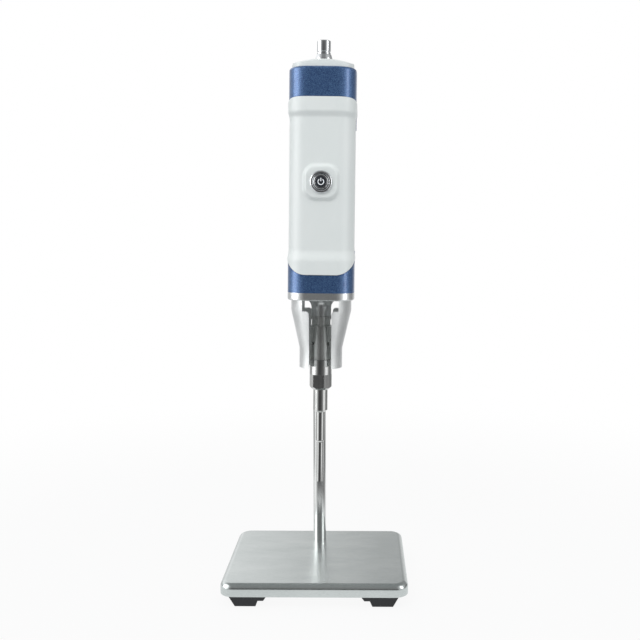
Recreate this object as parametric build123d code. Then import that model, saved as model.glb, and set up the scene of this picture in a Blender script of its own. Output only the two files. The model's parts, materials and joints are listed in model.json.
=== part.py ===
from build123d import *
import math
import os

# Ultrasonic cell disruptor: a hand-held transducer with its horn and probe, on a rod stand.
# X runs to the right, Y to the back and Z up. The origin is on the bench, under the middle of the base plate.
# All lengths are millimetres.

# Fits and gaps
running_fit = 0.05        # radial clearance of a pin that turns or slides in its hole
thread_fit = 0.05         # radial clearance of a screw in the hole that it is screwed into
through_fit = 0.25        # radial clearance of a screw in a hole that it passes through
shell_gap = 0.3           # gap between moulded shells that lie against each other
side_gap = 0.5            # gap at the ends of a piece that turns or slides
touch_gap = 0.1           # gap between pieces that press on each other

# Base plate and feet
plate_width = 160.0
plate_depth = 140.0
plate_thickness = 11.0
plate_corner = 12.0
plate_edge = 5.0
foot_height = 10.0
foot_bottom_width = 17.6
foot_outer_reach = 13.3   # from a foot's screw out to its upper edge
foot_inner_reach = 18.2   # from a foot's screw in to its upper edge
foot_step_reach = 15.6    # from a foot's screw in to the edge of its step
foot_waist_reach = 10.9   # from a foot's screw in to the corner of its step
foot_step_height = 5.8
foot_side_inset = 21.7    # from the plate's side to a foot's screw
foot_front_inset = 14.1   # from the plate's front or back to a foot's screw
foot_screw_diameter = 4.0
foot_screw_depth = 8.0
foot_screw_recess = 4.0
foot_screw_head_diameter = 8.0
foot_screw_head_height = 2.0

# Rod
rod_diameter = 12.0
rod_length = 424.0        # from its seat in the plate to its top
rod_inset = 26.0          # from the plate's back edge to the rod's axis
rod_seat_depth = 5.0
rod_chamfer = 1.0
rod_bolt_diameter = 6.0
rod_bolt_depth = 14.0     # how far the bolt reaches into the rod
rod_bolt_head_diameter = 10.0
rod_washer_diameter = 14.0
rod_washer_thickness = 1.2
rod_bolt_recess = 5.0
rod_bolt_recess_diameter = 16.0

# Where the device is held
arm_height = 350.0        # the tilt axis above the bench
rod_to_device = 62.0      # from the rod's axis forward to the probe's axis
device_x = 6.0            # from the rod's axis to the right
device_lean = 0.7         # degrees about the arm's axis, with the device's top to the right
tip_clearance = 74.0      # from the plate's top up to the probe's tip

# Probe, from the tip upwards
tip_diameter = 6.0
tip_length = 35.0
tip_cone = 2.5
stem_diameter = 7.6
stem_length = 25.0
stem_cone = 2.0
shaft_diameter = 12.8
shaft_length = 18.5
hex_across_flats = 17.2
hex_length = 13.5
hex_chamfer = 2.6
hex_turn = -9.5           # degrees
shank_diameter = 19.6
shank_length = 13.0
stud_diameter = 8.0
stud_depth = 9.0

# Horn, from the probe upwards
horn_diameter = 19.0
horn_length = 30.5
horn_groove_diameter = 16.4
horn_groove_length = 5.0
horn_collar_diameter = 17.6
horn_collar_length = 3.0
horn_edge = 0.5
spanner_hole_diameter = 3.0
spanner_hole_depth = 3.0
spanner_hole_height = 14.5
spanner_hole_count = 4

# Transducer
neck_diameter = 17.4
neck_length = 15.0        # from the horn to the flange
neck_flare_length = 8.5
neck_top_diameter = 31.0
neck_gap = 0.6            # round the neck in the flange
nodal_disc_diameter = 40.0
nodal_disc_thickness = 3.0
front_mass_diameter = 32.0
front_mass_length = 32.0  # from the flange's underside to the first ceramic ring
ceramic_diameter = 32.0
ceramic_bore = 13.0
ceramic_thickness = 5.0
ceramic_count = 4
electrode_thickness = 0.3
electrode_tab_width = 5.0
electrode_tab_length = 3.5
back_mass_diameter = 34.0
back_mass_length = 22.0
back_mass_chamfer = 2.0
prestress_diameter = 10.0
prestress_depth = 15.0
prestress_head_diameter = 16.0
prestress_head_height = 9.0
sleeve_wall = 0.8
seal_section = 2.0
seal_diameter = 36.0
ring_width = 45.0
ring_lip_thickness = 3.0
ring_lip_bore = 34.4
ring_screw_offset = 17.6
ring_screw_depth = 5.0

# Handle
handle_width = 58.0
handle_corner = 17.0
handle_bulge = 1.0
flange_thickness = 6.6
flange_edge = 1.0
body_length = 191.0
body_edge = 2.5           # rounding of the body's upper edge
cavity_width = 46.0
cavity_corner = 8.0
cap_height = 9.7
cap_dome_radius = 79.0
cap_wall = 2.5
cap_spigot_length = 8.0
cap_spigot_wall = 2.0
connector_seat_diameter = 17.0
floor_seat_depth = 0.5

# White covers
cover_stand_out = 0.8
cover_wall = 2.0
cover_bottom_inset = 15.6  # from the body's lower end to the covers' lower edge
cover_top_inset = 25.6
cover_lower_front_corner = 17.0
cover_upper_front_corner = 2.0
cover_lower_side_corner = 23.0
cover_upper_side_corner = 28.0
waist_depth_front = 2.6
waist_depth_side = 1.2
lower_ramp_start = 11.0    # from the covers' lower edge
lower_ramp_height = 10.6
upper_ramp_start = 11.0    # from the covers' upper edge
upper_ramp_height = 6.0
button_height = 78.5       # from the covers' lower edge to the button's axis
boss_width = 28.6
boss_corner = 9.5
boss_stand_out = 3.2
boss_edge = 2.0
boss_slope = 2.4
cover_post_diameter = 6.0
cover_post_depth = 2.5
cover_post_offset = 11.0
cover_post_inset = 5.5
cover_hole_extra = 0.7     # from the end of a cover's screw to the end of its hole

# Screws of three millimetres, used all over the handle
screw_diameter = 3.0
screw_head_diameter = 5.5
screw_head_height = 3.0
socket_share = 0.5        # a socket's width across flats as a share of its head
flange_screw_x = 11.0
flange_screw_y = 25.0
flange_screw_depth = 10.0

# Guard round the horn
guard_top_diameter = 52.8
guard_bottom_diameter = 37.6
guard_wall = 5.0
guard_length = 60.0
guard_cylinder_length = 17.0
guard_tab_height = 9.6
guard_slot_width = 19.4
guard_tab_gap = 31.6
guard_corner = 2.5
guard_screw_angle = 20.0
guard_screw_depth = 7.0

# Cable inlet
connector_diameter = 12.0
connector_bore = 9.6
connector_height = 17.0   # above the cap
connector_depth = 13.0    # below the cap's top
connector_groove_depth = 0.5
connector_groove_height = 6.6
connector_groove_width = 1.0
connector_chamfer = 0.6
inlet_nut_diameter = 15.0
inlet_nut_top_diameter = 12.9
inlet_nut_height = 5.0
inlet_nut_band = 1.4
locknut_across_flats = 15.0
locknut_height = 3.0
insert_recess = 3.5
insert_length = 20.0
contact_pin_diameter = 1.2
contact_pin_circle = 5.0
contact_pin_count = 4
contact_pin_turn = 45.0   # degrees
contact_pin_tail = 3.0
contact_pin_stand_out = 2.2

# Push button
bezel_diameter = 19.4
bezel_height = 2.4
bezel_rim_height = 0.8
bezel_face_diameter = 15.4
barrel_diameter = 16.0
barrel_length = 17.0
plunger_diameter = 12.6
plunger_length = 9.0
plunger_stand_out = 0.6
plunger_travel = 1.6
plunger_fit = 0.1         # radial clearance in the barrel
plunger_edge = 0.5
plunger_stem_diameter = 4.0
barrel_floor_depth = 12.0  # from the boss's face to the barrel's inner floor
lens_diameter = 9.4
lens_depth = 1.0
symbol_diameter = 5.4
symbol_line = 0.6
symbol_height = 0.15
symbol_gap_angle = 70.0
symbol_bar_length = 2.7
symbol_bar_middle = 1.75  # from the symbol's centre
button_nut_across_flats = 20.0
button_nut_height = 3.0
button_nut_room = 4.8     # from the nut's flats to the edge of the opening in the body
switch_width = 13.0
switch_length = 9.0
spring_diameter = 6.4
spring_wire = 0.7
spring_turns = 5

# Bracket and support arm
bracket_width = 36.0
bracket_height = 36.0
bracket_thickness = 5.0
bracket_corner = 5.0
bracket_edge = 1.0
bracket_boss_diameter = 20.0
bracket_boss_length = 3.0
bracket_screw_spacing = 26.0
bracket_screw_diameter = 4.0
bracket_screw_head_diameter = 7.0
bracket_screw_head_height = 2.6
bracket_screw_grip = 2.5  # thread in the pad behind the body's wall
backing_pad_width = 38.0
backing_pad_thickness = 5.0
arm_diameter = 10.0
arm_spigot_diameter = 8.0
arm_groove_play = 0.3      # between the stud and each side of the groove
arm_groove_depth = 1.0

# Rod clamp
bush_wall = 1.5
bush_flange_wall = 3.0
bush_flange_height = 2.0
bush_slit = 1.6
clamp_height = 38.0
clamp_width = 25.0
clamp_wall = 4.5
clamp_corner = 5.0
clamp_edge = 1.0
arm_wall = 5.0
arm_reach = 12.0          # how far the arm goes into the clamp
knob_diameter = 20.0
knob_length = 10.0
knob_flutes = 8
knob_flute_diameter = 5.0
knob_flute_depth = 1.25
knob_hub_diameter = 11.0
knob_hub_length = 1.6
knob_gap = 1.0
knob_edge = 1.2
knob_stud_diameter = 6.0
knob_stud_chamfer = 0.6
knob_insert_depth = 8.0
pad_diameter = 6.0
pad_thickness = 1.5

# Leads inside the handle
lead_diameter = 1.4
lead_bend = 6.0
lead_straight = 6.5       # below the contacts
lead_slant = 21.5         # the height over which a lead spreads out
switch_lead_straight = 39.0
switch_lead_slant = 26.0

# Heights and places that follow from the sizes above
plate_bottom = foot_height
plate_top = plate_bottom + plate_thickness
rod_y = plate_depth / 2 - rod_inset
device_y = rod_y - rod_to_device
tip_z = plate_top + tip_clearance
stem_z = tip_z + tip_length + tip_cone
shaft_z = stem_z + stem_length + stem_cone
hex_z = shaft_z + shaft_length
shank_z = hex_z + hex_length
horn_z = shank_z + shank_length
groove_z = horn_z + horn_length
collar_z = groove_z + horn_groove_length
neck_z = collar_z + horn_collar_length
flange_z = neck_z + neck_length
body_z = flange_z + flange_thickness
body_top = body_z + body_length
cap_top = body_top + cap_height
cover_low = body_z + cover_bottom_inset
cover_high = body_top - cover_top_inset
button_z = cover_low + button_height
cover_width = handle_width + 2 * cover_stand_out
waist_depth = cover_width - 2 * waist_depth_front
waist_front_y = device_y - waist_depth / 2
waist_back_y = device_y + waist_depth / 2
boss_front_y = waist_front_y - boss_stand_out
cavity_front_y = device_y - cavity_width / 2
cavity_back_y = device_y + cavity_width / 2
shell_front_y = waist_front_y + cover_wall + shell_gap
disc_z = body_z + seal_section
ceramic_z = flange_z + front_mass_length
stack_height = ceramic_count * (ceramic_thickness + electrode_thickness)
back_mass_z = ceramic_z + stack_height
back_mass_top = back_mass_z + back_mass_length
inlet_seat_z = cap_top - floor_seat_depth
bracket_front_y = waist_back_y
bracket_back_y = bracket_front_y + bracket_thickness
boss_end_y = bracket_back_y + bracket_boss_length
bush_radius = rod_diameter / 2 + running_fit + bush_wall
clamp_bore = bush_radius + running_fit
clamp_front_y = rod_y - clamp_bore - clamp_wall - arm_reach
clamp_back_y = rod_y + clamp_bore + clamp_wall
arm_end_y = clamp_front_y + arm_reach
clamp_low = arm_height - clamp_height / 2
clamp_high = arm_height + clamp_height / 2
rod_knob_z = arm_height
arm_knob_y = clamp_front_y + arm_reach / 2

CENTRE_LOW = (Align.CENTER, Align.CENTER, Align.MIN)


def upright(radius, low, high, x=0.0, y=0.0):
    """A vertical cylinder from one height to another."""
    return Pos(x, y, low) * Cylinder(radius, high - low, align=CENTRE_LOW)


def turned(points, x=0.0, y=0.0):
    """A solid turned about a vertical axis from (radius, height) points."""
    profile = make_face(Plane.XZ * Polyline(*points, close=True))
    return Pos(x, y, 0) * revolve(profile, Axis.Z)


def rounded_block(width, depth, corner, low, high, x=0.0, y=0.0):
    """A vertical prism with rounded corners."""
    return Pos(x, y, low) * extrude(RectangleRounded(width, depth, corner), high - low)


def bulged_square(width, depth, corner, bulge, height):
    """The handle's outline at a height: four slightly bowed sides with round corners."""
    side, end = width / 2, depth / 2
    corners = [(-side + bulge, -end + bulge), (side - bulge, -end + bulge),
               (side - bulge, end - bulge), (-side + bulge, end - bulge)]
    crowns = [(0, -end), (side, 0), (0, end), (-side, 0)]
    arcs = [ThreePointArc(corners[i], crowns[i], corners[(i + 1) % 4]) for i in range(4)]
    outline = make_face(Curve() + arcs)
    return Pos(0, device_y, height) * fillet(outline.vertices(), corner)


def handle_outline(height, inset=0.0):
    """The outline of the blue body, or one that lies inside it."""
    return bulged_square(handle_width - 2 * inset, handle_width - 2 * inset, handle_corner - inset,
                         handle_bulge, height)


def screw(diameter, length, head_diameter, head_height):
    """A socket screw with its head's seat at the origin and its shank along -Z."""
    head = Cylinder(head_diameter / 2, head_height, align=CENTRE_LOW)
    shank = Pos(0, 0, -length) * Cylinder(diameter / 2, length, align=CENTRE_LOW)
    socket_depth = head_height * socket_share
    socket = RegularPolygon(head_diameter * socket_share / 2, 6, major_radius=False)
    hollow = Pos(0, 0, head_height - socket_depth) * extrude(socket, socket_depth)
    return head + shank - hollow


def small_screw(length):
    """One of the handle's own screws."""
    return screw(screw_diameter, length, screw_head_diameter, screw_head_height)


def facing_down(solid, x, y, z):
    """Turns a screw so that its shank points up, with its seat at a place."""
    return Pos(x, y, z) * Rot(180, 0, 0) * solid


def corners_of(x, y):
    """The four mirror places of one point."""
    return [(sx * x, sy * y) for sx in (-1, 1) for sy in (-1, 1)]


# Stand

def feet_places():
    """The places of the feet's screws by name."""
    x = plate_width / 2 - foot_side_inset
    y = plate_depth / 2 - foot_front_inset
    return {"foot_front_left": (-x, -y), "foot_front_right": (x, -y),
            "foot_back_left": (-x, y), "foot_back_right": (x, y)}


def make_base_plate():
    plate = rounded_block(plate_width, plate_depth, plate_corner, plate_bottom, plate_top)
    plate = fillet(plate.faces().sort_by(Axis.Z)[-1].edges(), plate_edge)
    plate -= upright(rod_diameter / 2 + running_fit, plate_top - rod_seat_depth, plate_top, 0, rod_y)
    plate -= upright(rod_bolt_diameter / 2 + through_fit, plate_bottom, plate_top, 0, rod_y)
    recess_top = plate_bottom + rod_bolt_recess
    plate -= upright(rod_bolt_recess_diameter / 2, plate_bottom, recess_top, 0, rod_y)
    foot_screw_radius = foot_screw_diameter / 2 + thread_fit
    for x, y in feet_places().values():
        plate -= upright(foot_screw_radius, plate_bottom, plate_bottom + foot_screw_depth, x, y)
    return plate


def make_foot(x, y):
    """A block that slopes in on its two outer sides and has a step on its two inner ones."""
    half = foot_bottom_width / 2
    profile = make_face(Polyline((-half, 0), (half, 0), (foot_outer_reach, foot_height),
                                 (-foot_inner_reach, foot_height), (-foot_step_reach, foot_step_height),
                                 (-foot_waist_reach, foot_step_height), close=True))
    reach = foot_inner_reach + foot_outer_reach
    foot = extrude(Plane.XZ * profile, reach, both=True) & extrude(Plane.YZ * profile, reach, both=True)
    foot -= upright(foot_screw_head_diameter / 2 + through_fit, 0, foot_screw_recess)
    foot -= upright(foot_screw_diameter / 2 + through_fit, 0, foot_height)
    foot = mirror(foot, Plane.YZ) if x < 0 else foot
    foot = mirror(foot, Plane.XZ) if y < 0 else foot
    return Pos(x, y, 0) * foot


def make_foot_screws():
    length = foot_height - foot_screw_recess + foot_screw_depth - side_gap
    one = screw(foot_screw_diameter, length, foot_screw_head_diameter, foot_screw_head_height)
    return [facing_down(one, x, y, foot_screw_recess) for x, y in feet_places().values()]


def make_stand_rod():
    low = plate_top - rod_seat_depth
    high = low + rod_length
    rod = upright(rod_diameter / 2, low, high, 0, rod_y)
    rod = chamfer(rod.edges().group_by(Axis.Z)[-1], rod_chamfer)
    return rod - upright(rod_bolt_diameter / 2 + thread_fit, low, low + rod_bolt_depth + side_gap, 0, rod_y)


def make_rod_bolt():
    seat = plate_bottom + rod_bolt_recess - rod_washer_thickness
    length = plate_top - rod_seat_depth + rod_bolt_depth - seat
    head_height = seat - plate_bottom - side_gap
    bolt = screw(rod_bolt_diameter, length, rod_bolt_head_diameter, head_height)
    return facing_down(bolt, 0, rod_y, seat)


def make_rod_washer():
    high = plate_bottom + rod_bolt_recess
    washer = upright(rod_washer_diameter / 2, high - rod_washer_thickness, high, 0, rod_y)
    return washer - upright(rod_bolt_diameter / 2 + through_fit, plate_bottom, high, 0, rod_y)


# Rod clamp

def make_rod_bush():
    low = clamp_low - bush_flange_height
    bush = upright(bush_radius, low, clamp_high, 0, rod_y)
    bush += upright(bush_radius + bush_flange_wall, low, clamp_low, 0, rod_y)
    bush -= upright(rod_diameter / 2 + running_fit, low, clamp_high, 0, rod_y)
    slit_length = bush_radius + bush_flange_wall
    slit = Pos(0, rod_y + slit_length / 2, (low + clamp_high) / 2)
    return bush - slit * Box(bush_slit, slit_length, clamp_high - low)


def make_clamp_body():
    middle = (clamp_front_y + clamp_back_y) / 2
    depth = clamp_back_y - clamp_front_y
    low = clamp_low + side_gap
    width = clamp_width + device_x
    body = rounded_block(width, depth, clamp_corner, low, clamp_high, device_x / 2, middle)
    body = chamfer(body.faces().sort_by(Axis.Z)[-1].edges(), clamp_edge)
    body -= upright(clamp_bore, low, clamp_high, 0, rod_y)
    arm_hole = Cylinder(arm_diameter / 2 + running_fit, arm_reach, align=CENTRE_LOW)
    body -= Pos(device_x, clamp_front_y, arm_height) * Rot(-90, 0, 0) * arm_hole
    stud_hole = Cylinder(knob_stud_diameter / 2 + running_fit, clamp_width / 2, align=CENTRE_LOW)
    body -= Pos(0, rod_y, rod_knob_z) * Rot(0, -90, 0) * stud_hole
    body -= Pos(device_x, arm_knob_y, arm_height) * Rot(0, 90, 0) * stud_hole
    for level in (low, clamp_high):
        relief = Box(2 * clamp_width, arm_reach, clamp_height - 2 * arm_wall - arm_diameter)
        body -= Pos(0, clamp_front_y + arm_reach / 2 - arm_wall, level) * relief
    return body


def make_knob():
    """A lobed knob with its hub at the origin and its body along +Z."""
    start = knob_hub_length
    knob = Pos(0, 0, start) * Cylinder(knob_diameter / 2, knob_length, align=CENTRE_LOW)
    knob = fillet(knob.edges().group_by(Axis.Z)[-1], knob_edge)
    flute_middle = (knob_diameter + knob_flute_diameter) / 2 - knob_flute_depth
    flute = Cylinder(knob_flute_diameter / 2, knob_length, align=CENTRE_LOW)
    for i in range(knob_flutes):
        knob -= Rot(0, 0, i * 360 / knob_flutes) * Pos(flute_middle, 0, start) * flute
    knob += Cylinder(knob_hub_diameter / 2, knob_hub_length, align=CENTRE_LOW)
    return knob - Cylinder(knob_stud_diameter / 2 + thread_fit, knob_insert_depth, align=CENTRE_LOW)


def make_knob_stud(reach):
    """A threaded stud from inside its knob to a reach below the knob's hub."""
    length = knob_insert_depth - side_gap + reach
    stud = Pos(0, 0, -reach) * Cylinder(knob_stud_diameter / 2, length, align=CENTRE_LOW)
    return chamfer(stud.edges().group_by(Axis.Z)[0], knob_stud_chamfer)


def at_rod_knob(solid):
    return Pos(-clamp_width / 2 - knob_gap, rod_y, rod_knob_z) * Rot(0, -90, 0) * solid


def at_arm_knob(solid):
    return Pos(device_x + clamp_width / 2 + knob_gap, arm_knob_y, arm_height) * Rot(0, 90, 0) * solid


def rod_stud_reach():
    return clamp_width / 2 + knob_gap - bush_radius - running_fit - pad_thickness - touch_gap


def arm_stud_reach():
    return clamp_width / 2 + knob_gap - (arm_diameter / 2 - arm_groove_depth) - touch_gap


def make_pressure_pad():
    pad = Cylinder(pad_diameter / 2 - touch_gap, pad_thickness, align=CENTRE_LOW)
    seat = clamp_width / 2 + knob_gap - rod_stud_reach() - touch_gap - pad_thickness
    return Pos(-seat, rod_y, rod_knob_z) * Rot(0, -90, 0) * pad


# Arm and bracket on the handle's back

def make_support_arm():
    length = arm_end_y - side_gap - boss_end_y
    arm = Cylinder(arm_diameter / 2, length, align=CENTRE_LOW)
    groove_middle = arm_knob_y - boss_end_y
    groove_width = knob_stud_diameter + 2 * arm_groove_play
    groove = Cylinder(arm_diameter, groove_width)
    groove -= Cylinder(arm_diameter / 2 - arm_groove_depth, groove_width)
    arm -= Pos(0, 0, groove_middle) * groove
    spigot_length = boss_end_y - bracket_front_y - side_gap
    arm += Pos(0, 0, -spigot_length) * Cylinder(arm_spigot_diameter / 2, spigot_length, align=CENTRE_LOW)
    return Pos(0, boss_end_y, arm_height) * Rot(-90, 0, 0) * arm


def bracket_screw_places():
    half = bracket_screw_spacing / 2
    return corners_of(half, half)


def make_back_bracket():
    plate = extrude(RectangleRounded(bracket_width, bracket_height, bracket_corner), bracket_thickness)
    plate = chamfer(plate.faces().sort_by(Axis.Z)[-1].edges(), bracket_edge)
    boss = Cylinder(bracket_boss_diameter / 2, bracket_boss_length, align=CENTRE_LOW)
    plate += Pos(0, 0, bracket_thickness) * boss
    depth = bracket_thickness + bracket_boss_length
    plate -= Cylinder(arm_spigot_diameter / 2 + thread_fit, depth, align=CENTRE_LOW)
    shank = Cylinder(bracket_screw_diameter / 2 + through_fit, bracket_thickness, align=CENTRE_LOW)
    head = Cylinder(bracket_screw_head_diameter / 2 + through_fit, bracket_screw_head_height, align=CENTRE_LOW)
    seat = bracket_thickness - bracket_screw_head_height
    for x, z in bracket_screw_places():
        plate -= Pos(x, z, 0) * shank
        plate -= Pos(x, z, seat) * head
    return Pos(0, bracket_front_y, arm_height) * Rot(-90, 0, 0) * plate


def make_bracket_screws():
    seat = bracket_back_y - bracket_screw_head_height
    length = seat - cavity_back_y + bracket_screw_grip
    one = screw(bracket_screw_diameter, length, bracket_screw_head_diameter, bracket_screw_head_height)
    return [Pos(x, seat, arm_height + z) * Rot(-90, 0, 0) * one for x, z in bracket_screw_places()]


# Handle shells

def cover_envelope(inset):
    """The covers' outer form, or one that lies inside it: full at the ends and drawn in at the waist."""
    levels = [(cover_low - cover_lower_side_corner, 0), (cover_low + lower_ramp_start, 0),
              (cover_low + lower_ramp_start + lower_ramp_height, 1),
              (cover_high - upper_ramp_start - upper_ramp_height, 1),
              (cover_high - upper_ramp_start, 0), (cover_high + cover_upper_side_corner, 0)]
    sections = []
    for height, drawn_in in levels:
        width = cover_width - 2 * inset - 2 * waist_depth_side * drawn_in
        depth = cover_width - 2 * inset - 2 * waist_depth_front * drawn_in
        corner = handle_corner - inset - waist_depth_side * drawn_in
        sections.append(bulged_square(width, depth, corner, handle_bulge, height))
    return loft(sections, ruled=True)


def cover_panel(width, height, lower_corner, upper_corner):
    """A rectangle with one rounding at its lower corners and another at its upper ones."""
    panel = Rectangle(width, height)
    panel = fillet(panel.vertices().group_by(Axis.Y)[0], lower_corner)
    return fillet(panel.vertices().group_by(Axis.Y)[-1], upper_corner)


def cover_zone(front, margin=0.0):
    """The space that one cover may fill: rounded where seen from the front and where seen from the side."""
    height = cover_high - cover_low + 2 * margin
    middle = (cover_low + cover_high) / 2
    reach = cover_width
    face = cover_panel(cover_width + 2 * margin, height,
                       cover_lower_front_corner + margin, cover_upper_front_corner + margin)
    seen_from_front = Pos(0, device_y + reach, middle) * extrude(Plane.XZ * face, 2 * reach)
    side = cover_panel(2 * reach, height, cover_lower_side_corner + margin, cover_upper_side_corner + margin)
    side_y = device_y - reach if front else device_y + reach
    seam = margin - shell_gap / 2
    side_y += seam if front else -seam
    seen_from_side = Pos(-reach, side_y, middle) * extrude(Plane.YZ * side, 2 * reach)
    return seen_from_front & seen_from_side


def cover_post_places():
    """Where the covers' screws are: left and right, near the lower and the upper edge."""
    levels = (cover_low + cover_post_inset, cover_high - cover_post_inset)
    return [(x, z) for x in (-cover_post_offset, cover_post_offset) for z in levels]


def along_y(radius, start, end, x, z):
    """A cylinder along Y."""
    low, high = min(start, end), max(start, end)
    return Pos(x, low, z) * Rot(-90, 0, 0) * Cylinder(radius, high - low, align=CENTRE_LOW)


def make_cover(front):
    cover = (cover_envelope(0) - cover_envelope(cover_wall)) & cover_zone(front)
    out = -1 if front else 1
    inner = device_y + out * (cover_width / 2 - cover_wall)
    for x, z in cover_post_places():
        tip = inner - out * cover_post_depth
        outer = inner + out * (cover_wall / 2)
        cover += along_y(cover_post_diameter / 2, tip, outer, x, z)
        cover -= along_y(screw_diameter / 2 + thread_fit, tip, inner + out * cover_hole_extra, x, z)
    return cover


def make_front_cover():
    cover = make_cover(True)
    base_width = boss_width + 2 * boss_slope
    base = Plane.XZ * RectangleRounded(base_width, base_width, boss_corner + boss_slope)
    top = Plane.XZ * RectangleRounded(boss_width, boss_width, boss_corner)
    boss = loft([Pos(0, waist_front_y + cover_wall, button_z) * base,
                 Pos(0, boss_front_y, button_z) * top], ruled=True)
    boss = fillet(boss.faces().sort_by(Axis.Y)[0].edges(), boss_edge)
    boss -= cover_envelope(cover_wall)
    cover += boss
    return cover - along_y(barrel_diameter / 2 + through_fit, boss_front_y, device_y, 0, button_z)


def make_back_cover():
    cover = make_cover(False)
    for x, z in bracket_screw_places():
        cover -= along_y(bracket_screw_diameter / 2 + through_fit, device_y, waist_back_y + cover_wall,
                         x, arm_height + z)
    return cover


def make_body_shell():
    body = extrude(handle_outline(body_z), body_length)
    body = fillet(body.faces().sort_by(Axis.Z)[-1].edges(), body_edge)
    seat = cover_envelope(cover_wall + shell_gap)
    body -= cover_zone(True, shell_gap) - seat
    body -= cover_zone(False, shell_gap) - seat
    body -= rounded_block(cavity_width, cavity_width, cavity_corner, body_z, body_top, 0, device_y)
    pad = Box(backing_pad_width, backing_pad_thickness, backing_pad_width)
    body += Pos(0, cavity_back_y - backing_pad_thickness / 2, arm_height) * pad
    for x, z in bracket_screw_places():
        body -= along_y(bracket_screw_diameter / 2 + thread_fit, cavity_back_y - backing_pad_thickness,
                        waist_back_y, x, arm_height + z)
    for out in (-1, 1):
        outer = device_y + out * cover_width / 2
        post_end = outer - out * (cover_wall + cover_post_depth + shell_gap)
        for x, z in cover_post_places():
            body -= along_y(cover_post_diameter / 2 + shell_gap, post_end, outer, x, z)
            body -= along_y(screw_diameter / 2 + through_fit, device_y, outer, x, z)
    nut_opening = button_nut_across_flats / 2 + button_nut_room
    body -= along_y(nut_opening, boss_front_y, cavity_front_y, 0, button_z)
    for x, y in corners_of(flange_screw_x, flange_screw_y):
        body -= upright(screw_diameter / 2 + thread_fit, body_z, body_z + flange_screw_depth, x, device_y + y)
    return body


def make_cover_screws():
    screws = []
    for out, inner in ((-1, cavity_front_y), (1, cavity_back_y)):
        reach = abs(device_y + out * (cover_width / 2 - cover_wall) - inner)
        turn = Rot(-90, 0, 0) if out < 0 else Rot(90, 0, 0)
        for x, z in cover_post_places():
            screws.append(Pos(x, inner, z) * turn * small_screw(reach))
    return screws


def make_top_cap():
    low = body_top
    dome_middle = Pos(0, device_y, cap_top - cap_dome_radius)
    cap = extrude(handle_outline(low, body_edge), cap_height) & dome_middle * Sphere(cap_dome_radius)
    end = low - cap_spigot_length
    width = cavity_width - 2 * running_fit
    bore = width - 2 * cap_spigot_wall
    cap += rounded_block(width, width, cavity_corner - running_fit, end, low, 0, device_y)
    hollow = rounded_block(bore, bore, cavity_corner - cap_spigot_wall, end, cap_top, 0, device_y)
    cap -= hollow & dome_middle * Sphere(cap_dome_radius - cap_wall)
    cap -= upright(connector_seat_diameter / 2, inlet_seat_z, cap_top, 0, device_y)
    return cap - upright(connector_diameter / 2 + thread_fit, low, cap_top, 0, device_y)


def guard_screw_places():
    radius = (guard_top_diameter - guard_wall) / 2
    x = radius * math.cos(math.radians(guard_screw_angle))
    y = radius * math.sin(math.radians(guard_screw_angle))
    return corners_of(x, y)


def make_bottom_flange():
    flange = extrude(handle_outline(flange_z), flange_thickness)
    flange = chamfer(flange.faces().sort_by(Axis.Z)[0].edges(), flange_edge)
    flange -= upright(neck_top_diameter / 2 + neck_gap, flange_z, body_z, 0, device_y)
    shank = screw_diameter / 2 + through_fit
    head = screw_head_diameter / 2 + through_fit
    for x, y in corners_of(flange_screw_x, flange_screw_y):
        flange -= upright(shank, flange_z, body_z, x, device_y + y)
        flange -= upright(head, flange_z, flange_z + screw_head_height, x, device_y + y)
    for x, y in guard_screw_places():
        flange -= upright(shank, flange_z, body_z, x, device_y + y)
        flange -= upright(head, body_z - screw_head_height - side_gap, body_z, x, device_y + y)
    for x, y in corners_of(ring_screw_offset, ring_screw_offset):
        flange -= upright(screw_diameter / 2 + thread_fit, body_z - ring_screw_depth, body_z, x, device_y + y)
    return flange


def make_flange_screws():
    seat = flange_z + screw_head_height
    length = body_z - seat + flange_screw_depth - side_gap
    places = corners_of(flange_screw_x, flange_screw_y)
    return [facing_down(small_screw(length), x, device_y + y, seat) for x, y in places]


# Guard

def make_guard_leg(side):
    """One of the two legs: a tapered sleeve with a slot in front and behind."""
    top, bottom = guard_top_diameter / 2, guard_bottom_diameter / 2
    low = flange_z - guard_length
    kink = low + guard_cylinder_length
    shoulder = flange_z - guard_tab_height
    outside = [(bottom, low), (bottom, kink), (top, shoulder), (top, flange_z)]
    inside = [(radius - guard_wall, height) for radius, height in reversed(outside)]
    sleeve = turned(outside + inside, 0, device_y)
    half = Box(2 * top, 2 * guard_top_diameter, guard_length, align=CENTRE_LOW)
    leg = sleeve & (Pos(side * (guard_slot_width / 2 + top), device_y, low) * half)
    window = Box(guard_tab_gap, 2 * guard_top_diameter, guard_tab_height, align=CENTRE_LOW)
    leg -= Pos(0, device_y, shoulder) * window
    edges = leg.edges().filter_by(Axis.Y).filter_by_position(Axis.Z, shoulder - side_gap, shoulder + side_gap)
    inner = edges.filter_by(lambda edge: abs(edge.center().X) < guard_slot_width / 2 + side_gap)
    leg = fillet(inner, guard_corner) if inner else leg
    hole_end = flange_z - guard_screw_depth - side_gap
    for x, y in guard_screw_places():
        if x * side > 0:
            leg -= upright(screw_diameter / 2 + thread_fit, hole_end, flange_z, x, device_y + y)
    return leg


def make_guard_screws():
    seat = body_z - screw_head_height - side_gap
    length = seat - flange_z + guard_screw_depth
    return [Pos(x, device_y + y, seat) * small_screw(length) for x, y in guard_screw_places()]


# Transducer

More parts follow.
